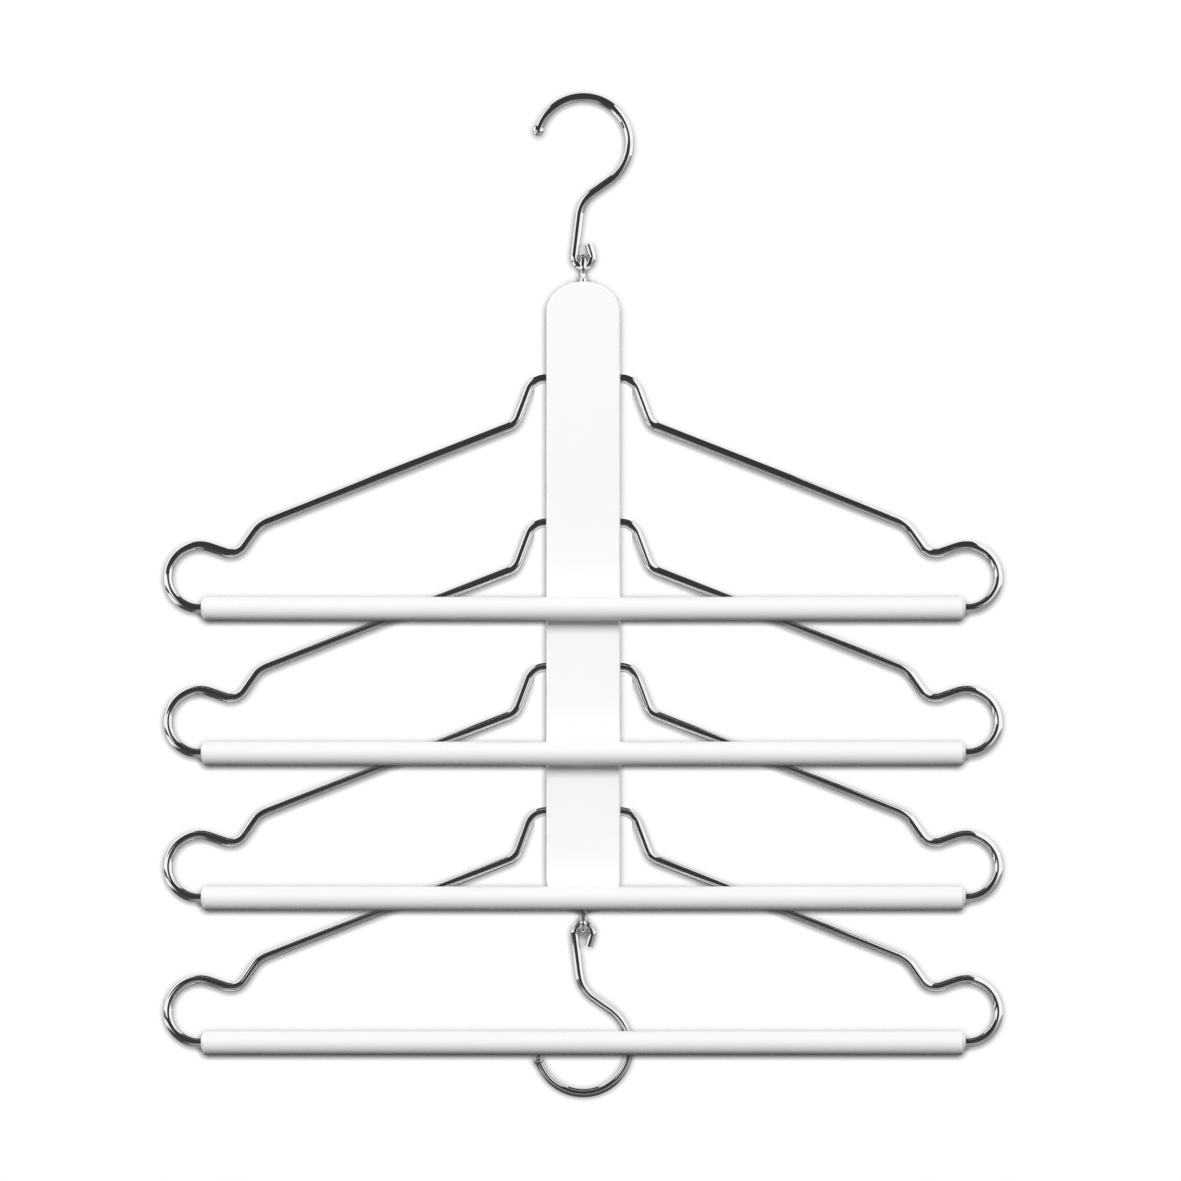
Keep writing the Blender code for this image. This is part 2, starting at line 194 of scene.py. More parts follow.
joints = {joint["name"]: joint for joint in frame["joints"]}
top_link = Vector(joints["top_hook_tilt"]["pos_m"])
bottom_link = Vector(joints["bottom_hook_tilt"]["pos_m"])
hanger_pivots = [Vector(joints[f"hanger_{tier}_swing"]["pos_m"]) for tier in (1, 2, 3, 4)]
spine_front_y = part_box("spine_front")[0].y
spine_back_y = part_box("spine_back")[1].y
spine_low, spine_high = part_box("spine_back")
bar_low, bar_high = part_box("hanger_1_bar")
bar_half_length = (bar_high.x - bar_low.x) / 2
bar_radius = (bar_high.z - bar_low.z) / 2
bar_reach = (bar_low + bar_high) / 2 - hanger_pivots[0]
hanger_drop = bar_reach.length
hanger_tilt = math.atan2(-bar_reach.y, -bar_reach.z)
hook_eye_radius = (EYE_WIRE + HOOK_WIRE) / 2 + LINK_GAP
bow_z = HOOK_WIRE / 2 - HOOK_RADIUS - top_link.z
eye_inner_radius = HOOK_WIRE / 2 + GAP + EYE_SLACK


def add_node(tree, kind, values=None, **settings):
    """Add a node: the settings are its own choices, and the values give its inputs a number or a link."""
    node = tree.nodes.new(kind)
    for name, setting in settings.items():
        setattr(node, name, setting)
    for name, value in (values or {}).items():
        if isinstance(value, bpy.types.NodeSocket):
            tree.links.new(value, node.inputs[name])
        else:
            node.inputs[name].default_value = value
    return node


# Finishes


def new_material(name):
    """A material with its node tree and its shader."""
    material = bpy.data.materials.new(name)
    material.use_nodes = True
    tree = material.node_tree
    return material, tree, tree.nodes["Principled BSDF"]


def stretched_noise(tree, source, scale, detail=2.0, roughness=0.5):
    """Noise on a coordinate that is scaled unlike along its three axes."""
    mapping = add_node(tree, "ShaderNodeMapping", {"Vector": source, "Scale": scale})
    values = {"Vector": mapping.outputs["Vector"], "Scale": 1.0, "Detail": detail, "Roughness": roughness}
    return add_node(tree, "ShaderNodeTexNoise", values).outputs["Fac"]


def between(tree, factor, low, high):
    """A value that runs from low to high as the factor runs from 0 to 1."""
    node = add_node(tree, "ShaderNodeMapRange", {"Value": factor, "To Min": low, "To Max": high})
    return node.outputs["Result"]


def colour_between(tree, factor, low, high):
    """A colour that runs from low to high as the factor runs from 0 to 1."""
    node = add_node(tree, "ShaderNodeMix", data_type="RGBA")
    tree.links.new(factor, node.inputs["Factor"])
    node.inputs[6].default_value = (*low, 1.0)
    node.inputs[7].default_value = (*high, 1.0)
    return node.outputs[2]


def relief(tree, height, size, normal=None):
    """A relief of a size, which is its depth and its strength, on top of another where one is given."""
    depth, strength = size
    values = {"Height": height, "Distance": depth, "Strength": strength}
    if normal:
        values["Normal"] = normal
    return add_node(tree, "ShaderNodeBump", values).outputs["Normal"]


def make_chrome():
    """Bright plated wire: fine draw lines along it, a faint haze and slow waves left by bending."""
    material, tree, shader = new_material("bright_chrome")
    place = add_node(tree, "ShaderNodeTexCoord").outputs["Object"]
    on_wire = add_node(tree, "ShaderNodeAttribute", attribute_name="on_wire").outputs["Vector"]
    haze = stretched_noise(tree, place, CHROME_HAZE, 3.0)
    lines = stretched_noise(tree, on_wire, CHROME_LINES, 2.0)
    waves = stretched_noise(tree, place, CHROME_WAVES, 1.0)
    tint = colour_between(tree, haze, *CHROME_TINTS)
    tree.links.new(tint, shader.inputs["Base Color"])
    shader.inputs["Metallic"].default_value = 1.0
    tree.links.new(between(tree, haze, *CHROME_ROUGHNESS), shader.inputs["Roughness"])
    drawn = relief(tree, lines, CHROME_LINE_RELIEF)
    tree.links.new(relief(tree, waves, CHROME_WAVE_RELIEF, drawn), shader.inputs["Normal"])
    return material


def make_lacquer():
    """Satin white lacquer on the spine: faint upright brush marks under a fine orange-peel skin."""
    material, tree, shader = new_material("satin_white_lacquer")
    place = add_node(tree, "ShaderNodeTexCoord").outputs["Object"]
    clouds = stretched_noise(tree, place, LACQUER_CLOUDS, 3.0)
    strokes = stretched_noise(tree, place, LACQUER_STROKES, 3.0)
    peel = stretched_noise(tree, place, LACQUER_PEEL, 1.5)
    tint = colour_between(tree, clouds, *LACQUER_TINTS)
    tree.links.new(tint, shader.inputs["Base Color"])
    tree.links.new(between(tree, strokes, *LACQUER_ROUGHNESS), shader.inputs["Roughness"])
    brushed = relief(tree, strokes, LACQUER_STROKE_RELIEF)
    tree.links.new(relief(tree, peel, LACQUER_PEEL_RELIEF, brushed), shader.inputs["Normal"])
    shader.inputs["IOR"].default_value = LACQUER_IOR
    return material


def make_bar_white():
    """Matt white bar with a fine extruded grain along it."""
    material, tree, shader = new_material("matt_white_bar")
    place = add_node(tree, "ShaderNodeTexCoord").outputs["Object"]
    clouds = stretched_noise(tree, place, BAR_CLOUDS, 2.0)
    grain = stretched_noise(tree, place, BAR_GRAIN, 3.0)
    tooth = stretched_noise(tree, place, BAR_TOOTH, 2.0)
    tint = colour_between(tree, clouds, *BAR_TINTS)
    tree.links.new(tint, shader.inputs["Base Color"])
    tree.links.new(between(tree, grain, *BAR_ROUGHNESS), shader.inputs["Roughness"])
    drawn = relief(tree, grain, BAR_GRAIN_RELIEF)
    tree.links.new(relief(tree, tooth, BAR_TOOTH_RELIEF, drawn), shader.inputs["Normal"])
    shader.inputs["IOR"].default_value = BAR_IOR
    return material


def make_zinc():
    """Zinc-plated fasteners with turning rings on their heads."""
    material, tree, shader = new_material("zinc_plate")
    place = add_node(tree, "ShaderNodeTexCoord").outputs["Object"]
    on_head = add_node(tree, "ShaderNodeAttribute", attribute_name="on_head").outputs["Vector"]
    blotches = stretched_noise(tree, place, ZINC_BLOTCHES, 3.0)
    values = {"Vector": on_head, "Scale": ZINC_RINGS, "Distortion": ZINC_RING_WANDER}
    rings = add_node(tree, "ShaderNodeTexWave", values, wave_type="RINGS", rings_direction="Y")
    tint = colour_between(tree, blotches, *ZINC_TINTS)
    tree.links.new(tint, shader.inputs["Base Color"])
    shader.inputs["Metallic"].default_value = 1.0
    tree.links.new(between(tree, blotches, *ZINC_ROUGHNESS), shader.inputs["Roughness"])
    tree.links.new(relief(tree, rings.outputs["Fac"], ZINC_RING_RELIEF), shader.inputs["Normal"])
    return material


chrome = make_chrome()
lacquer = make_lacquer()
bar_white = make_bar_white()
zinc = make_zinc()


# Making pieces


def new_tree(name, inputs):
    """A geometry nodes tree with a geometry input and named inputs for its sizes."""
    tree = bpy.data.node_groups.new(name, "GeometryNodeTree")
    tree.interface.new_socket("Geometry", in_out="INPUT", socket_type="NodeSocketGeometry")
    for label, kind in inputs:
        tree.interface.new_socket(label, in_out="INPUT", socket_type=kind)
    tree.interface.new_socket("Geometry", in_out="OUTPUT", socket_type="NodeSocketGeometry")
    return tree, tree.nodes.new("NodeGroupInput").outputs


def end_tree(tree, geometry, material):
    """Realise the instances, set the material and hand the geometry on."""
    real = add_node(tree, "GeometryNodeRealizeInstances", {"Geometry": geometry})
    values = {"Geometry": real.outputs["Geometry"], "Material": material}
    finished = add_node(tree, "GeometryNodeSetMaterial", values)
    add_node(tree, "NodeGroupOutput", {"Geometry": finished.outputs["Geometry"]})


# How a vector is stored on points
POINT_VECTOR = {"data_type": "FLOAT_VECTOR", "domain": "POINT"}


def capture(tree, geometry, kind, label, value):
    """Note a value on each point before the points move."""
    node = tree.nodes.new("GeometryNodeCaptureAttribute")
    node.capture_items.new(kind, label)
    tree.links.new(geometry, node.inputs[0])
    tree.links.new(value, node.inputs[1])
    return node.outputs[0], node.outputs[1]


def make_wire_tree():
    """Sweeps a round wire along a path. on_wire is a point's place across the wire and along it."""
    tree, given = new_tree("bent_wire", [
        ("Diameter", "NodeSocketFloat"),
        ("Sides", "NodeSocketInt"),
        ("Finish", "NodeSocketMaterial"),
    ])
    path = add_node(tree, "GeometryNodeMeshToCurve", {"Mesh": given["Geometry"]}).outputs["Curve"]
    share = add_node(tree, "GeometryNodeInputNamedAttribute", {"Name": "thickness"}, data_type="FLOAT")
    values = {"Curve": path, "Radius": share.outputs["Attribute"]}
    path = add_node(tree, "GeometryNodeSetCurveRadius", values).outputs["Curve"]
    along = add_node(tree, "GeometryNodeSplineParameter").outputs["Length"]
    path, length = capture(tree, path, "FLOAT", "length", along)
    radius = add_node(tree, "ShaderNodeMath", {0: given["Diameter"], 1: 2.0}, operation="DIVIDE")
    values = {"Resolution": given["Sides"], "Radius": radius.outputs["Value"]}
    section = add_node(tree, "GeometryNodeCurvePrimitiveCircle", values).outputs["Curve"]
    section_place = add_node(tree, "GeometryNodeInputPosition").outputs["Position"]
    section, across = capture(tree, section, "VECTOR", "across", section_place)
    values = {"Curve": path, "Profile Curve": section, "Fill Caps": True}
    swept = add_node(tree, "GeometryNodeCurveToMesh", values).outputs["Mesh"]
    parts = add_node(tree, "ShaderNodeSeparateXYZ", {"Vector": across})
    values = {"X": parts.outputs["X"], "Y": parts.outputs["Y"], "Z": length}
    on_wire = add_node(tree, "ShaderNodeCombineXYZ", values).outputs["Vector"]
    values = {"Geometry": swept, "Name": "on_wire", "Value": on_wire}
    noted = add_node(tree, "GeometryNodeStoreNamedAttribute", values, **POINT_VECTOR)
    end_tree(tree, noted.outputs["Geometry"], given["Finish"])
    return tree


def make_screw_tree():
    """Sets a screw at each point, facing back, each turned by its own angle.

    on_head is a point's place on its screw.
    """
    tree, given = new_tree("screw_row", [
        ("Screw", "NodeSocketObject"),
        ("Seed", "NodeSocketInt"),
        ("Finish", "NodeSocketMaterial"),
    ])
    screw = add_node(tree, "GeometryNodeObjectInfo", {"Object": given["Screw"]}).outputs["Geometry"]
    place = add_node(tree, "GeometryNodeInputPosition").outputs["Position"]
    values = {"Geometry": screw, "Name": "on_head", "Value": place}
    noted = add_node(tree, "GeometryNodeStoreNamedAttribute", values, **POINT_VECTOR)
    points = add_node(tree, "GeometryNodeMeshToPoints", {"Mesh": given["Geometry"]}).outputs["Points"]
    turn = add_node(tree, "FunctionNodeRandomValue", data_type="FLOAT")
    tree.links.new(given["Seed"], turn.inputs["Seed"])
    angle = add_node(tree, "ShaderNodeMath", {0: turn.outputs[1], 1: math.pi}, operation="MULTIPLY")
    spin = add_node(tree, "ShaderNodeCombineXYZ", {"Y": angle.outputs["Value"]}).outputs["Vector"]
    values = {"Points": points, "Instance": noted.outputs["Geometry"]}
    row = add_node(tree, "GeometryNodeInstanceOnPoints", values).outputs["Instances"]
    values = {"Instances": row, "Rotation": spin}
    row = add_node(tree, "GeometryNodeRotateInstances", values).outputs["Instances"]
    end_tree(tree, row, given["Finish"])
    return tree


def add_object(name, mesh):
    """A mesh as an object in the scene."""
    piece = bpy.data.objects.new(name, mesh)
    bpy.context.scene.collection.objects.link(piece)
    return piece


def grown(name, host, tree, inputs):
    """The plain mesh that a geometry nodes tree grows on a host mesh."""
    source = add_object(f"{name}_path", host)
    modifier = source.modifiers.new("grow", "NODES")
    modifier.node_group = tree
    sockets = {item.name: item.identifier for item in tree.interface.items_tree if item.in_out == "INPUT"}
    for label, value in inputs.items():
        modifier[sockets[label]] = value
    return baked(name, source)


def grown_wire(name, host, tree, diameter):
    """A round chrome wire along a path mesh."""
    return grown(name, host, tree, {"Diameter": diameter, "Sides": WIRE_SIDES, "Finish": chrome})


def baked(name, source):
    """A new object at the origin with the evaluated mesh of another, which is removed."""
    bpy.context.view_layer.update()
    depsgraph = bpy.context.evaluated_depsgraph_get()
    mesh = bpy.data.meshes.new_from_object(source.evaluated_get(depsgraph))
    mesh.transform(source.matrix_world)
    bpy.data.objects.remove(source)
    mesh.name = name
    return add_object(name, mesh)


def smooth(piece):
    """Smooth shading that keeps the sharp rims."""
    piece.data.shade_smooth()
    piece.data.set_sharp_from_angle(angle=math.radians(SHARP_ANGLE))


def finish_piece(piece, material, body, slot, *nodes):
    """Give a piece its finish, its body and the nodes that it stands for."""
    piece.data.materials.clear()
    piece.data.materials.append(material)
    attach(piece, body)
    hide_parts(*nodes)


def arc(centre, radius, start, end):
    """Points on a circle from one angle to another, in radians."""
    steps = max(1, math.ceil(abs(end - start) / math.radians(ARC_STEP)))
    angles = [start + (end - start) * step / steps for step in range(steps + 1)]
    return [centre + radius * Vector((math.cos(angle), math.sin(angle))) for angle in angles]


def bend(before, corner, after, radius):
    """Points of the round bend at a corner, between the straight from before and the straight to after."""
    inward = (corner - before).normalized()
    outward = (after - corner).normalized()
    turn = math.atan2(inward.x * outward.y - inward.y * outward.x, inward.dot(outward))
    start = corner - inward * radius * math.tan(abs(turn) / 2)
    to_centre = Vector((-inward.y, inward.x)) * math.copysign(radius, turn)
    start_angle = math.atan2(-to_centre.y, -to_centre.x)
    return arc(start + to_centre, radius, start_angle, start_angle + turn)


def tangent_angle(centre, radius, point, side):
    """Angle on a circle where a line from the point touches it, on its left (1) or right (-1) side."""
    offset = point - centre
    return math.atan2(offset.y, offset.x) + side * math.acos(radius / offset.length)


def wire_path(name, points, place, shares=None, closed=False):
    """A path mesh from points of the XZ plane, with the wire's share of its full thickness at each."""
    mesh = bpy.data.meshes.new(name)
    edges = [(index, index + 1) for index in range(len(points) - 1)]
    if closed:
        edges.append((len(points) - 1, 0))
    mesh.from_pydata([place @ Vector((point.x, 0, point.y)) for point in points], edges, [])
    thickness = mesh.attributes.new("thickness", "FLOAT", "POINT")
    thickness.data.foreach_set("value", shares or [1.0] * len(points))
    return mesh


def turned(name, profile, place, sides):
    """A shape turned about Z from a profile of (radius, z), then put in place."""
    mesh = bpy.data.meshes.new(name)
    shape = bmesh.new()
    verts = [shape.verts.new((radius, 0, z)) for radius, z in profile]
    edges = [shape.edges.new(pair) for pair in zip(verts, verts[1:])]
    bmesh.ops.spin(
        shape,
        geom=verts + edges,
        axis=(0, 0, 1),
        cent=(0, 0, 0),
        angle=2 * math.pi,
        steps=sides,
    )
    bmesh.ops.remove_doubles(shape, verts=shape.verts, dist=WELD)
    bmesh.ops.recalc_face_normals(shape, faces=shape.faces)
    shape.to_mesh(mesh)
    shape.free()
    mesh.transform(place)
    piece = add_object(name, mesh)
    smooth(piece)
    return piece


def rounded(corners, radii):
    """A profile through corners, where a corner with a radius becomes a round bend."""
    points = [Vector(corner) for corner in corners]
    profile = [points[0]]
    for before, corner, after, radius in zip(points, points[1:], points[2:], radii):
        profile += bend(before, corner, after, radius) if radius else [corner]
    return [tuple(point) for point in profile + [points[-1]]]


def cut(piece, cutters, operation="DIFFERENCE"):
    """Cut a piece with others, or join them on, and remove those."""
    for cutter in cutters:
        boolean = piece.modifiers.new("cut", "BOOLEAN")
        boolean.operation = operation
        boolean.solver = "EXACT"
        boolean.object = cutter
    name = piece.name
    piece.name = f"{name}_blank"
    result = baked(name, piece)
    for cutter in cutters:
        bpy.data.objects.remove(cutter)
    return result


# Hangers


def hanger_path():
    """Centre line of one hanger's wire: pivot, necks, shoulders, notches, loops and the ends in the bar."""
    loop_x = bar_half_length + BAR_END_INSET
    neck_top = Vector((spine_high.x + NECK_OFFSET, 0))
    neck_foot = neck_top + Vector((NECK_FLARE, -NECK_DROP))
    loop_centre = Vector((loop_x, LOOP_RADIUS - hanger_drop))
    rise = math.radians(NOTCH_RISE_ANGLE)
    fall = math.radians(NOTCH_FALL_ANGLE)
    loop_start = loop_centre + LOOP_RADIUS * Vector((-math.sin(rise), math.cos(rise)))
    notch = loop_start - NOTCH_RISE * Vector((math.cos(rise), math.sin(rise)))
    shoulder_end = notch + NOTCH_FALL * Vector((-math.cos(fall), math.sin(fall)))
    pivot = Vector((0, 0))
    half = bend(pivot, neck_top, neck_foot, NECK_TOP_BEND)
    half += bend(neck_top, neck_foot, shoulder_end, NECK_FOOT_BEND)
    half += bend(neck_foot, shoulder_end, notch, SHOULDER_END_BEND)
    half += bend(shoulder_end, notch, loop_start, NOTCH_BEND)
    half += arc(loop_centre, LOOP_RADIUS, math.pi / 2 + rise, -math.pi / 2)
    half.append(Vector((bar_half_length - BAR_SOCKET, -hanger_drop)))
    mirrored = [Vector((-point.x, point.y)) for point in reversed(half)]
    return mirrored + half


def bar_profile():
    """Profile of a bar from the foot of one blind socket to the other, over its tapered ends."""
    socket_radius = HANGER_WIRE / 2 + SOCKET_CLEARANCE
    tip_radius = socket_radius + BAR_TIP_WALL
    socket_foot = bar_half_length - BAR_SOCKET - SOCKET_END_GAP
    shoulder = bar_half_length - BAR_TAPER
    corners = [
        (0, socket_foot),
        (socket_radius, socket_foot),
        (socket_radius, bar_half_length),
        (tip_radius, bar_half_length),
        (bar_radius, shoulder),
    ]
    radii = [0, BAR_LIP_ROUND, BAR_LIP_ROUND, BAR_EDGE_ROUND]
    corners += [(radius, -z) for radius, z in reversed(corners)]
    return rounded(corners, radii + radii[::-1])


def make_hanger(tier, pivot, tree):
    """One wire hanger with its bar."""
    body = f"hanger_{tier}"
    place = Matrix.Translation(pivot) @ Matrix.Rotation(-hanger_tilt, 4, "X")
    host = wire_path(f"{body}_line", hanger_path(), place)
    wire = grown_wire(f"{body}_bent_wire", host, tree, HANGER_WIRE)
    smooth(wire)
    finish_piece(wire, chrome, body, "chrome_wire", f"{body}_wire")
    along_x = Matrix.Translation((0, 0, -hanger_drop)) @ Matrix.Rotation(math.pi / 2, 4, "Y")
    bar = turned(f"{body}_round_bar", bar_profile(), place @ along_x, BAR_SIDES)
    finish_piece(bar, bar_white, body, "white_bar", f"{body}_bar")


# Hooks and their links


def hook_path():
    """Centre line of a hook, from its tip to the end of its open eye, and the wire's thickness along it.

    Heights count from the link's axis up. The thickness at each point is a share of the full one.
    """
    eye_centre = Vector((0, hook_eye_radius))
    bow_centre = Vector((0, bow_z))
    stem_bend = eye_centre + Vector((-HOOK_BEND_SIDE, HOOK_STEM))
    tip_angle, tip, tip_direction = hook_tip()
    spigot_share = SPIGOT_DIAMETER / HOOK_WIRE
    chamfer_share = 1 - 2 * WIRE_CHAMFER / HOOK_WIRE
    spigot = [tip + tip_direction * length for length in (SPIGOT_LENGTH, WELD, 0)]
    bow_end = tangent_angle(bow_centre, HOOK_RADIUS, stem_bend, 1)
    bow = arc(bow_centre, HOOK_RADIUS, tip_angle, bow_end)
    eye_start = tangent_angle(eye_centre, hook_eye_radius, stem_bend, 1)
    eye_end = math.radians(HOOK_EYE_LEAVE_ANGLE) + 2 * math.pi
    eye = arc(eye_centre, hook_eye_radius, eye_start, eye_end)
    stem = bend(bow[-1], stem_bend, eye[0], HOOK_BEND)
    leaving = Vector((-math.sin(eye_end), math.cos(eye_end)))
    free_end = [eye[-1] + leaving * length for length in (HOOK_EYE_END - WIRE_CHAMFER, HOOK_EYE_END)]
    line = spigot + bow + stem + eye + free_end
    shares = [spigot_share, spigot_share] + [1.0] * (len(line) - 3) + [chamfer_share]
    return line, shares


def hook_tip():
    """Angle where the bow ends, the wire's shoulder just past it, and the direction the tip points in."""
    angle = math.radians(HOOK_TIP_ANGLE)
    direction = Vector((-math.sin(angle), math.cos(angle)))
    bow_end = Vector((HOOK_RADIUS * math.cos(angle), bow_z + HOOK_RADIUS * math.sin(angle)))
    return angle, bow_end + direction * HOOK_TIP_STRAIGHT, direction


def ball_profile():
    """A ball with a flat seat and a blind hole for the wire's spigot."""
    radius = BALL_DIAMETER / 2
    hole_radius = SPIGOT_DIAMETER / 2 + GAP
    hole_foot = SPIGOT_LENGTH - BALL_SEAT_HEIGHT
    seat_angle = -math.asin(BALL_SEAT_HEIGHT / radius)
    sphere = arc(Vector((0, 0)), radius, math.pi / 2, seat_angle)
    hole = [(hole_radius, -BALL_SEAT_HEIGHT), (hole_radius, hole_foot), (0, hole_foot)]
    return [(0, radius)] + [tuple(point) for point in sphere[1:]] + hole


def make_hook(end, place, tree):
    """A hook and the ball on its tip."""
    body = f"{end}_hook"
    line, shares = hook_path()
    host = wire_path(f"{body}_line", line, place, shares)
    wire = grown_wire(f"{body}_bent_wire", host, tree, HOOK_WIRE)
    smooth(wire)
    finish_piece(wire, chrome, body, "chrome_wire", f"{body}_wire")
    tip_angle, tip, tip_direction = hook_tip()
    centre = tip + tip_direction * (BALL_SEAT_HEIGHT + BALL_SEAT_GAP)
    seat = Matrix.Translation((centre.x, 0, centre.y)) @ Matrix.Rotation(-tip_angle, 4, "Y")
    ball = turned(f"{body}_tip_ball", ball_profile(), place @ seat, SMALL_SIDES)
    finish_piece(ball, chrome, body, "chrome_wire", f"{body}_ball")


def pin_levels():
    """Heights from the link's axis down: pocket roof, head top, head foot and pocket foot."""
    roof = -EYE_SLACK - eye_inner_radius - EYE_WIRE - EYE_STAND_OFF - POCKET_DEPTH
    head_top = roof - WASHER_THICKNESS - 2 * GAP
    head_foot = head_top - PIN_HEAD_HEIGHT
    return roof, head_top, head_foot, head_foot - GAP


def make_eye_pin(end, place, tree):
    """The closed eye on its headed pin."""
    body = f"{end}_eye"
    ring_radius = eye_inner_radius + EYE_WIRE / 2
    ring = arc(Vector((0, 0)), ring_radius, 0, 2 * math.pi)[:-1]
    across = place @ Matrix.Translation((0, 0, -EYE_SLACK)) @ Matrix.Rotation(math.pi / 2, 4, "Z")
    host = wire_path(f"{body}_line", ring, across, closed=True)
    eye = grown_wire(f"{body}_ring_and_pin", host, tree, EYE_WIRE)
    head_top, head_foot = pin_levels()[1:3]
    shank_top = -EYE_SLACK - ring_radius
    profile = rounded([
        (0, shank_top),
        (PIN_SHANK / 2, shank_top),
        (PIN_SHANK / 2, head_top),
        (PIN_HEAD_DIAMETER / 2, head_top),
        (PIN_HEAD_DIAMETER / 2, head_foot),
        (0, head_foot),
    ], [0, PIN_EDGE_ROUND, PIN_EDGE_ROUND, PIN_EDGE_ROUND])
    eye = cut(eye, [turned(f"{body}_shank", profile, place, SMALL_SIDES)], "UNION")
    smooth(eye)
    finish_piece(eye, chrome, body, "chrome_wire", f"{body}_pin")
    washer = frame["nodes"][f"{body}_washer"]
    washer.data.materials.clear()
    washer.data.materials.append(zinc)


# Spine


def screw_profile(shank_radius, head_radius, head_z, tip_z, rim):
    """Profile of a countersunk screw from its head's face to its tip."""
    return [
        (0, head_z),
        (head_radius, head_z),
        (head_radius, head_z - rim),
        (shank_radius, head_z - rim - head_radius + shank_radius),
        (shank_radius, tip_z + shank_radius),
        (0, tip_z),
    ]


def screw_places():
    """One screw between each two neighbours in the row of pin pockets and pivots."""
    pocket_foot = pin_levels()[-1]
    rows = [top_link.z + pocket_foot] + [pivot.z for pivot in hanger_pivots] + [bottom_link.z - pocket_foot]
    return [Vector((0, 0, (upper + lower) / 2)) for upper, lower in zip(rows, rows[1:])]


def recess_cutter(turn):
    """One tapered bar of a cross recess, wide at the head's face and narrow at its foot."""
    cutter = bmesh.new()
    bmesh.ops.create_cube(cutter, size=1.0)
    top = spine_back_y + SCREW_SINK
    for vert in cutter.verts:
        taper = 1.0 if vert.co.z > 0 else RECESS_DRAFT
        height = top if vert.co.z > 0 else spine_back_y - SCREW_SINK - RECESS_DEPTH
        vert.co = Vector((vert.co.x * RECESS_SPAN * taper, vert.co.y * RECESS_WIDTH * taper, height))
    mesh = bpy.data.meshes.new("recess")
    cutter.to_mesh(mesh)
    cutter.free()
    mesh.transform(Matrix.Rotation(turn, 4, "Z"))
    return add_object("recess", mesh)


def make_screws():
    """The five countersunk screws, grown on the points where they sit."""
    head_z = spine_back_y - SCREW_SINK
    tip_z = SCREW_TIP_WALL + spine_front_y
    profile = screw_profile(SCREW_SHANK / 2, SCREW_HEAD / 2, head_z, tip_z, SCREW_RIM)
    screw = turned("countersunk_screw", profile, Matrix.Identity(4), SMALL_SIDES)
    screw = cut(screw, [recess_cutter(0), recess_cutter(math.pi / 2)])
    screw.data.transform(Matrix.Rotation(-math.pi / 2, 4, "X"))
    smooth(screw)
    host = bpy.data.meshes.new("screw_points")
    host.from_pydata(screw_places(), [], [])
    inputs = {"Screw": screw, "Seed": SCREW_TURN_SEED, "Finish": zinc}
    row = grown("spine_screw_row", host, make_screw_tree(), inputs)
    bpy.data.objects.remove(screw)
    numbers = range(1, len(screw_places()) + 1)
    nodes = [f"spine_screw_{number}" for number in numbers]
    finish_piece(row, zinc, "spine", "zinc_fastener", *nodes)


def journal_cutters():
    """The round ways in which the hangers' wires turn."""
    radius = HANGER_WIRE / 2 + RUNNING_GAP
    reach = 2 * spine_high.x
    profile = [(0, reach), (radius, reach), (radius, -reach), (0, -reach)]
    lie = Matrix.Rotation(math.pi / 2, 4, "Y")
    places = [Matrix.Translation(pivot) @ lie for pivot in hanger_pivots]
    return [turned("journal", profile, place, SMALL_SIDES) for place in places]


def pocket_cutters():
    """The pockets of the eye pins' heads."""
    roof, head_top, head_foot, pocket_foot = pin_levels()
    hole_radius = PIN_SHANK / 2 + RUNNING_GAP
    pocket_radius = WASHER_DIAMETER / 2 + RUNNING_GAP
    profile = [
        (0, 0),
        (hole_radius, 0),
        (hole_radius, roof),
        (pocket_radius, roof),
        (pocket_radius, pocket_foot),
        (0, pocket_foot),
    ]
    return [turned("pocket", profile, place, SMALL_SIDES) for place in (top_place, bottom_place)]


def screw_hole_cutters():
    """The countersunk holes of the screws."""
    head_radius = SCREW_HEAD / 2 + GAP
    tip_z = SCREW_TIP_WALL + spine_front_y - GAP
    rim = SCREW_RIM + SCREW_SINK + GAP
    profile = screw_profile(SCREW_SHANK / 2 + GAP, head_radius, spine_back_y + GAP, tip_z, rim)
    lie = Matrix.Rotation(-math.pi / 2, 4, "X")
    places = [Matrix.Translation(spot) @ lie for spot in screw_places()]
    return [turned("screw_hole", profile, place, SMALL_SIDES) for place in places]


def spine_outline():
    """Outline of the spine: straight sides and an end that is half an ellipse at top and bottom."""
    half_width = spine_high.x
    shoulder = (spine_high.z - spine_low.z) / 2 - SPINE_END_RISE
    angles = [math.pi * step / OUTLINE_STEPS for step in range(OUTLINE_STEPS + 1)]
    ends = [(math.cos(angle), math.sin(angle)) for angle in angles]
    upper = [(half_width * across, shoulder + SPINE_END_RISE * up) for across, up in ends]
    return upper + [(-x, -z) for x, z in upper]


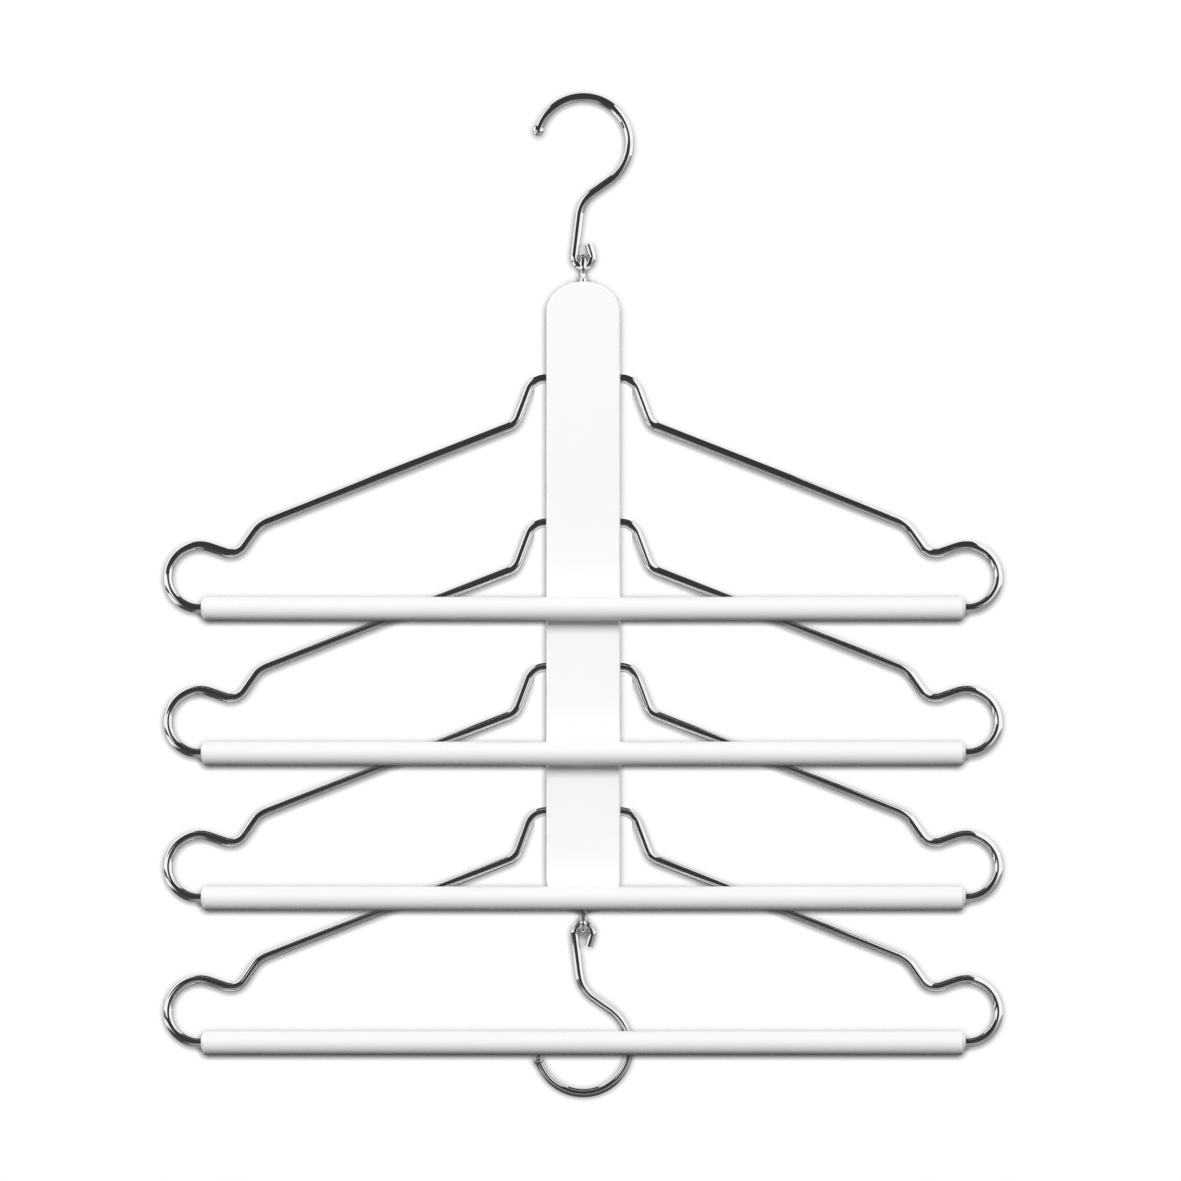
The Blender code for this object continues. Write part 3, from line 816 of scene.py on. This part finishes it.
def make_spine_half(name, outer_y, node):
    """One half of the spine: its outline, its rounded outer edge, and the ways cut into it."""
    side = math.copysign(1, outer_y)
    seam_y = side * GAP / 2
    middle_z = (spine_high.z + spine_low.z) / 2
    shape = bmesh.new()
    verts = [shape.verts.new((x, seam_y, z + middle_z)) for x, z in spine_outline()]
    face = shape.faces.new(verts)
    outer = bmesh.ops.extrude_face_region(shape, geom=[face])["geom"]
    outer_verts = [item for item in outer if isinstance(item, bmesh.types.BMVert)]
    bmesh.ops.translate(shape, verts=outer_verts, vec=(0, outer_y - seam_y, 0))
    rim = [edge for edge in shape.edges if all(vert in outer_verts for vert in edge.verts)]
    bmesh.ops.bevel(
        shape,
        geom=rim,
        offset=SPINE_EDGE_ROUND,
        segments=EDGE_STEPS,
        profile=0.5,
        affect="EDGES",
    )
    bmesh.ops.recalc_face_normals(shape, faces=shape.faces)
    mesh = bpy.data.meshes.new(name)
    shape.to_mesh(mesh)
    shape.free()
    cutters = journal_cutters() + pocket_cutters() + screw_hole_cutters()
    half = cut(add_object(name, mesh), cutters)
    smooth(half)
    level = half.modifiers.new("level_faces", "WEIGHTED_NORMAL")
    level.keep_sharp = True
    half.name = f"{name}_blank"
    half = baked(name, half)
    finish_piece(half, lacquer, "spine", "white_spine", node)


top_place = Matrix.Translation(top_link)
bottom_place = Matrix.Translation(bottom_link) @ Matrix.Rotation(math.pi, 4, "X")

wire_tree = make_wire_tree()
make_hook("top", top_place, wire_tree)
make_hook("bottom", bottom_place, wire_tree)
make_eye_pin("top", top_place, wire_tree)
make_eye_pin("bottom", bottom_place, wire_tree)
for number, hanger_pivot in enumerate(hanger_pivots, start=1):
    make_hanger(number, hanger_pivot, wire_tree)
make_spine_half("spine_front_shell", spine_front_y, "spine_front")
make_spine_half("spine_back_shell", spine_back_y, "spine_back")
make_screws()


# Stage, light and camera

MIDDLE = Vector((0, 0, -0.245))

# A pale floor, white for the camera far off. The chrome's reflections of it get painted shade instead:
# pairs of x and shade, and painted dark spots, each given as x, y, inner radius and outer radius
FLOOR_GREY = 0.86
FLOOR_DROP = 0.12
FLOOR_REACH = 6.0
FLOOR_CLEAR = 0.35
FLOOR_FADE = 1.1
FLOOR_PAINTED_REFLECTION_SHADES = ((-0.65, 1.0), (-0.50, 0.06), (-0.30, 0.06), (-0.22, 0.32))
FLOOR_PAINTED_SHADE_SPOTS = ((0.0, 0.0, 0.13, 0.25), (0.0, -0.54, 0.10, 0.21))
FLOOR_PAINTED_SPOT_SHADE = 0.2

# A dark sheet bowed over the object, seen only in reflections, which paints dark reflections into the chrome:
# angle up from the front, left edge and right edge
SHEET_RADIUS = 0.8
SHEET_STEP = 3.0
SHEET_EDGES = (
    (-27, -1.20, 0.45),
    (-14, -1.20, 0.45),
    (-9, -0.48, 0.45),
    (-4, -0.43, 0.40),
    (1, -0.42, 0.28),
    (7, -0.40, 0.265),
    (13, -0.36, 0.285),
    (20, -0.90, 0.315),
    (29, -1.50, 0.345),
    (37, -1.50, 0.365),
    (50, -1.50, 0.39),
    (65, -1.20, 0.415),
    (80, -0.80, 0.44),
    (95, -0.50, 0.43),
    (110, -0.42, 0.39),
    (150, -0.26, 0.28),
    (190, -0.15, 0.25),
)
# Shades of the painted dark reflection, and the scales of the noise that varies them
PAINTED_REFLECTION_DARKS = ((0.022, 0.018, 0.024), (0.062, 0.055, 0.066))
PAINTED_REFLECTION_MOTTLE = (1.5, 9.0, 9.0)
# A dark wing and a grey screen, seen only in reflections, which paint reflected shade into the chrome
WING_X = -1.2
WING_REACH = (-0.9, 0.5)
WING_TOP = -0.385
PAINTED_REFLECTION_GREY = (0.45, 0.44, 0.46)
SCREEN_Y = 0.85
SCREEN_WIDTH = 3.2
SCREEN_TOP = 0.13

# Lamps: azimuth, elevation, the light that each gives a white surface facing it, width and height
LAMP_DISTANCE = 8.0
LAMPS = {
    "key_lamp": (-8, 27, 0.975, 4.0, 3.6),
    "left_lamp": (-73, 4, 0.43, 2.2, 7.2),
    "right_lamp": (73, 4, 0.41, 2.2, 7.2),
    "back_left_lamp": (-130, 25, 0.60, 4.2, 4.2),
    "back_right_lamp": (130, 25, 0.60, 4.2, 4.2),
}
WORLD_FILL = 0.07

# Clear sheets close behind the pieces, which only hold painted soft shadows, darker where a piece stands
# close
GLASS_BEHIND_WIRE = 0.0036
GLASS_BEHIND_SPINE = 0.001
GLASS_MARGIN = 0.012
GLASS_OFF_SPINE = 0.006
SHADOW_REACH = 0.0037
SHADOW_LEAN = (0.12, 0.0, 0.45)
SHADOW_POWER = 1.4
SHADOW_STRENGTH = 2.0
SHADOW_COLOUR = (0.05, 0.045, 0.05, 1)
SHADOW_SAMPLES = 4

WHITE = (1, 1, 1, 1)
CAMERA_SIGHT = 100


def show_only_to(item, kind):
    """Hide an object from all kinds of ray but one."""
    for ray in ("camera", "diffuse", "glossy", "shadow", "transmission", "volume_scatter"):
        setattr(item, f"visible_{ray}", ray == kind)


def only_reflected(item):
    """Show a card in glossy reflections, and throw no shadow with it."""
    show_only_to(item, "glossy")


def painted_reflection_glow(name, low, high):
    """Even emission for a card seen only in reflections, the painted reflected shade running from one colour
    to another over a noise.
    """
    material = bpy.data.materials.new(name)
    material.use_nodes = True
    tree = material.node_tree
    tree.nodes.clear()
    place = add_node(tree, "ShaderNodeTexCoord").outputs["Object"]
    reflection_mottle = stretched_noise(tree, place, PAINTED_REFLECTION_MOTTLE, 2.0)
    light = add_node(tree, "ShaderNodeEmission", {"Color": colour_between(tree, reflection_mottle, low, high)})
    add_node(tree, "ShaderNodeOutputMaterial", {"Surface": light.outputs["Emission"]})
    material.cycles.emission_sampling = "NONE"
    return material


def flat_sheet(name, corners, material):
    """One four-cornered sheet."""
    mesh = bpy.data.meshes.new(name)
    mesh.from_pydata(corners, [], [(0, 1, 2, 3)])
    mesh.materials.append(material)
    return add_object(name, mesh)


def sheet_edges(angle):
    """The dark sheet's left and right edge at an angle up from the front."""
    for (low, *low_edges), (high, *high_edges) in zip(SHEET_EDGES, SHEET_EDGES[1:]):
        if angle <= high:
            share = (angle - low) / (high - low)
            return [start + (end - start) * share for start, end in zip(low_edges, high_edges)]
    return high_edges


def add_dark_sheet(cloth):
    """A dark sheet bowed over the object from front to back, seen only in reflections, which paints the dark
    bands in the chrome.
    """
    first, last = SHEET_EDGES[0][0], SHEET_EDGES[-1][0]
    steps = round((last - first) / SHEET_STEP)
    verts = []
    for step in range(steps + 1):
        angle = first + (last - first) * step / steps
        y = -SHEET_RADIUS * math.cos(math.radians(angle))
        z = SHEET_RADIUS * math.sin(math.radians(angle))
        verts += [MIDDLE + Vector((x, y, z)) for x in sheet_edges(angle)]
    faces = [(2 * row, 2 * row + 1, 2 * row + 3, 2 * row + 2) for row in range(steps)]
    mesh = bpy.data.meshes.new("dark_sheet")
    mesh.from_pydata(verts, [], faces)
    mesh.materials.append(cloth)
    only_reflected(add_object("dark_sheet", mesh))


def add_grey_screen():
    """A grey screen behind the object, seen only in reflections, which paints grey reflected shade on the
    rims of the chrome.
    """
    x = SCREEN_WIDTH / 2
    low = cad_box[0].z - FLOOR_DROP
    corners = [(-x, SCREEN_Y, low), (x, SCREEN_Y, low)]
    corners += [(x, SCREEN_Y, SCREEN_TOP), (-x, SCREEN_Y, SCREEN_TOP)]
    only_reflected(flat_sheet("grey_screen", corners, painted_reflection_glow("grey_cloth", PAINTED_REFLECTION_GREY, PAINTED_REFLECTION_GREY)))


def add_dark_wing(cloth):
    """A low dark wing at the left, seen only in reflections, which paints a darker reflection on the foot of
    the object.
    """
    low = cad_box[0].z - FLOOR_DROP
    front, back = WING_REACH
    corners = [(WING_X, front, low), (WING_X, back, low)]
    corners += [(WING_X, back, WING_TOP), (WING_X, front, WING_TOP)]
    only_reflected(flat_sheet("dark_wing", corners, cloth))


def add_lamp(name, azimuth, elevation, light, width, height):
    """A soft lamp aimed at the middle of the object, which chrome doesn't show."""
    data = bpy.data.lights.new(name, "AREA")
    data.shape = "RECTANGLE"
    data.size = width
    data.size_y = height
    data.energy = light * (math.pi * LAMP_DISTANCE) ** 2
    lamp = bpy.data.objects.new(name, data)
    bpy.context.scene.collection.objects.link(lamp)
    across, up = math.radians(azimuth), math.radians(elevation)
    towards = Vector((math.sin(across) * math.cos(up), -math.cos(across) * math.cos(up), math.sin(up)))
    lamp.location = MIDDLE + towards * LAMP_DISTANCE
    lamp.rotation_euler = towards.to_track_quat("Z", "Y").to_euler()
    lamp.visible_camera = False
    lamp.visible_glossy = False


def add_world():
    """White for the camera and for reflections, and a low even fill on the object."""
    world = bpy.data.worlds.new("white_room")
    bpy.context.scene.world = world
    world.use_nodes = True
    tree = world.node_tree
    tree.nodes.clear()
    path = add_node(tree, "ShaderNodeLightPath").outputs
    values = {0: path["Is Camera Ray"], 1: path["Is Glossy Ray"]}
    seen = add_node(tree, "ShaderNodeMath", values, operation="MAXIMUM")
    values = {0: seen.outputs["Value"], 1: path["Is Transmission Ray"]}
    seen = add_node(tree, "ShaderNodeMath", values, operation="MAXIMUM")
    strength = between(tree, seen.outputs["Value"], WORLD_FILL, 1.0)
    back = add_node(tree, "ShaderNodeBackground", {"Color": WHITE, "Strength": strength})
    add_node(tree, "ShaderNodeOutputWorld", {"Surface": back.outputs["Background"]})


def add_floor():
    """A pale floor under the object, which fades to the white of the room around it."""
    material = bpy.data.materials.new("pale_floor")
    material.use_nodes = True
    tree = material.node_tree
    tree.nodes.clear()
    place = add_node(tree, "ShaderNodeTexCoord").outputs["Object"]
    flat = add_node(tree, "ShaderNodeVectorMath", {0: place, 1: (1, 1, 0)}, operation="MULTIPLY")
    distance = add_node(tree, "ShaderNodeVectorMath", {0: flat.outputs[0]}, operation="LENGTH")
    values = {"Value": distance.outputs["Value"], "From Min": FLOOR_CLEAR, "From Max": FLOOR_FADE}
    fade = add_node(tree, "ShaderNodeMapRange", values, interpolation_type="SMOOTHSTEP")
    path = add_node(tree, "ShaderNodeLightPath").outputs
    values = {0: fade.outputs["Result"], 1: path["Is Camera Ray"]}
    share = add_node(tree, "ShaderNodeMath", values, operation="MULTIPLY")
    matt = add_node(tree, "ShaderNodeBsdfDiffuse", {"Color": (FLOOR_GREY, FLOOR_GREY, FLOOR_GREY, 1)})
    white = add_node(tree, "ShaderNodeEmission", {"Color": WHITE, "Strength": 1.0})
    values = {0: share.outputs["Value"], 1: matt.outputs[0], 2: white.outputs[0]}
    seen = add_node(tree, "ShaderNodeMixShader", values)
    # What the chrome sees of the floor: painted reflected shade, in stripes across x and darker in spots
    across = add_node(tree, "ShaderNodeSeparateXYZ", {"Vector": place}).outputs["X"]
    grey = FLOOR_PAINTED_REFLECTION_SHADES[0][1]
    for (start, shade), (end, next_shade) in zip(FLOOR_PAINTED_REFLECTION_SHADES, FLOOR_PAINTED_REFLECTION_SHADES[1:]):
        values = {"Value": across, "From Min": start, "From Max": end}
        values.update({"To Min": grey, "To Max": next_shade})
        grey = add_node(tree, "ShaderNodeMapRange", values).outputs["Result"]
    for x, y, inner, outer in FLOOR_PAINTED_SHADE_SPOTS:
        values = {0: flat.outputs[0], 1: (x, y, 0)}
        off = add_node(tree, "ShaderNodeVectorMath", values, operation="DISTANCE").outputs["Value"]
        values = {"Value": off, "From Min": inner, "From Max": outer, "To Min": FLOOR_PAINTED_SPOT_SHADE}
        spot = add_node(tree, "ShaderNodeMapRange", values)
        values = {0: grey, 1: spot.outputs["Result"]}
        grey = add_node(tree, "ShaderNodeMath", values, operation="MULTIPLY").outputs["Value"]
    # The painted reflection, shown to glossy rays alone
    mirrored = add_node(tree, "ShaderNodeEmission", {"Color": WHITE, "Strength": grey})
    values = {0: path["Is Glossy Ray"], 1: seen.outputs[0], 2: mirrored.outputs[0]}
    surface = add_node(tree, "ShaderNodeMixShader", values)
    add_node(tree, "ShaderNodeOutputMaterial", {"Surface": surface.outputs["Shader"]})
    material.cycles.emission_sampling = "NONE"
    reach = FLOOR_REACH / 2
    level = cad_box[0].z - FLOOR_DROP
    corners = [(x, y, level) for x, y in ((-reach, -reach), (reach, -reach), (reach, reach), (-reach, reach))]
    floor = flat_sheet("floor", corners, material)
    floor.visible_diffuse = False


def make_shadow_glass():
    """Clear, with a painted shadow where something stands close in front of it, most of all just above."""
    material = bpy.data.materials.new("shadow_glass")
    material.use_nodes = True
    tree = material.node_tree
    tree.nodes.clear()
    facing = add_node(tree, "ShaderNodeNewGeometry").outputs["Normal"]
    leaning = add_node(tree, "ShaderNodeVectorMath", {0: facing, 1: SHADOW_LEAN}, operation="ADD")
    values = {"Distance": SHADOW_REACH, "Normal": leaning.outputs[0]}
    openness = add_node(tree, "ShaderNodeAmbientOcclusion", values, samples=SHADOW_SAMPLES)
    covered = add_node(tree, "ShaderNodeMath", {0: 1.0, 1: openness.outputs["AO"]}, operation="SUBTRACT")
    values = {0: covered.outputs["Value"], 1: SHADOW_POWER}
    curve = add_node(tree, "ShaderNodeMath", values, operation="POWER")
    values = {0: curve.outputs["Value"], 1: SHADOW_STRENGTH}
    depth = add_node(tree, "ShaderNodeMath", values, operation="MULTIPLY", use_clamp=True)
    clear = add_node(tree, "ShaderNodeBsdfTransparent").outputs[0]
    # The painted shadow: a dark emission mixed in by how covered the sheet is
    dark = add_node(tree, "ShaderNodeEmission", {"Color": SHADOW_COLOUR, "Strength": 1.0}).outputs[0]
    surface = add_node(tree, "ShaderNodeMixShader", {0: depth.outputs["Value"], 1: clear, 2: dark})
    add_node(tree, "ShaderNodeOutputMaterial", {"Surface": surface.outputs["Shader"]})
    material.cycles.emission_sampling = "NONE"
    return material


def add_shadow_glass(name, body, place, panes, material):
    """A clear upright sheet for painted shadows, which moves with a body and only the camera sees.

    Its panes are given as left, foot, right and top.
    """
    mesh = bpy.data.meshes.new(name)
    verts = []
    for left, foot, right, top in panes:
        verts += [(left, 0, foot), (right, 0, foot), (right, 0, top), (left, 0, top)]
    faces = [tuple(range(first, first + 4)) for first in range(0, len(verts), 4)]
    mesh.from_pydata([place @ Vector(vert) for vert in verts], [], faces)
    mesh.materials.append(material)
    sheet = add_object(name, mesh)
    show_only_to(sheet, "camera")
    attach(sheet, body)


def add_shadow_glasses():
    """One sheet behind the spine, one behind each hook, and one behind each hanger.

    A hanger's sheet leaves out the spine, which stands behind the bar, and above the bar a strip beside it.
    """
    material = make_shadow_glass()
    behind_wire = Matrix.Translation((0, GLASS_BEHIND_WIRE, 0))
    behind_spine = Matrix.Translation((0, spine_back_y + GLASS_BEHIND_SPINE, 0))
    side = spine_high.x
    wide = side + GLASS_MARGIN
    pane = (-wide, spine_low.z - GLASS_MARGIN, wide, spine_high.z + GLASS_MARGIN)
    add_shadow_glass("spine_shadow", "spine", behind_spine, [pane], material)
    wide = HOOK_RADIUS + HOOK_WIRE / 2 + GLASS_MARGIN
    pane = (-wide, spine_high.z, wide, GLASS_MARGIN)
    add_shadow_glass("top_hook_shadow", "top_hook", behind_wire, [pane], material)
    pane = (-wide, cad_box[0].z - GLASS_MARGIN, wide, spine_low.z)
    add_shadow_glass("bottom_hook_shadow", "bottom_hook", behind_wire, [pane], material)
    wide = cad_box[1].x + GLASS_MARGIN
    foot = -hanger_drop - bar_radius - GLASS_MARGIN
    bar_top = -hanger_drop + bar_radius + GLASS_MARGIN
    for tier, pivot in enumerate(hanger_pivots, start=1):
        place = Matrix.Translation(pivot) @ Matrix.Rotation(-hanger_tilt, 4, "X") @ behind_wire
        inner = side + GLASS_OFF_SPINE
        upper = 0 if pivot.z - hanger_drop + bar_radius < spine_low.z else side
        lower = 0 if pivot.z - hanger_drop - bar_radius < spine_low.z else side
        panes = [
            (-wide, bar_top, -inner, GLASS_MARGIN),
            (inner, bar_top, wide, GLASS_MARGIN),
            (-wide, -hanger_drop, -upper, bar_top),
            (upper, -hanger_drop, wide, bar_top),
            (-wide, foot, -lower, -hanger_drop),
            (lower, foot, wide, -hanger_drop),
        ]
        add_shadow_glass(f"hanger_{tier}_shadow", f"hanger_{tier}", place, panes, material)


def add_camera():
    """Square on, framed as in the photograph."""
    data = bpy.data.cameras.new("camera")
    width = PHOTO_SIZE / PHOTO_SCALE
    data.sensor_width = CAMERA_SENSOR * 1000
    data.lens = data.sensor_width * CAMERA_DISTANCE / width
    data.clip_end = CAMERA_SIGHT
    camera = bpy.data.objects.new("camera", data)
    x = (PHOTO_SIZE / 2 - ORIGIN_PIXEL[0]) / PHOTO_SCALE
    z = (ORIGIN_PIXEL[1] - PHOTO_SIZE / 2) / PHOTO_SCALE
    camera.location = (x, -CAMERA_DISTANCE, z)
    camera.rotation_euler = (math.pi / 2, 0, 0)
    bpy.context.scene.collection.objects.link(camera)
    bpy.context.scene.camera = camera


bpy.context.scene.view_settings.view_transform = "Standard"
add_world()
for lamp_name, lamp_numbers in LAMPS.items():
    add_lamp(lamp_name, *lamp_numbers)
dark_cloth = painted_reflection_glow("dark_cloth", *PAINTED_REFLECTION_DARKS)
add_dark_sheet(dark_cloth)
add_dark_wing(dark_cloth)
add_grey_screen()
add_floor()
add_shadow_glasses()
add_camera()
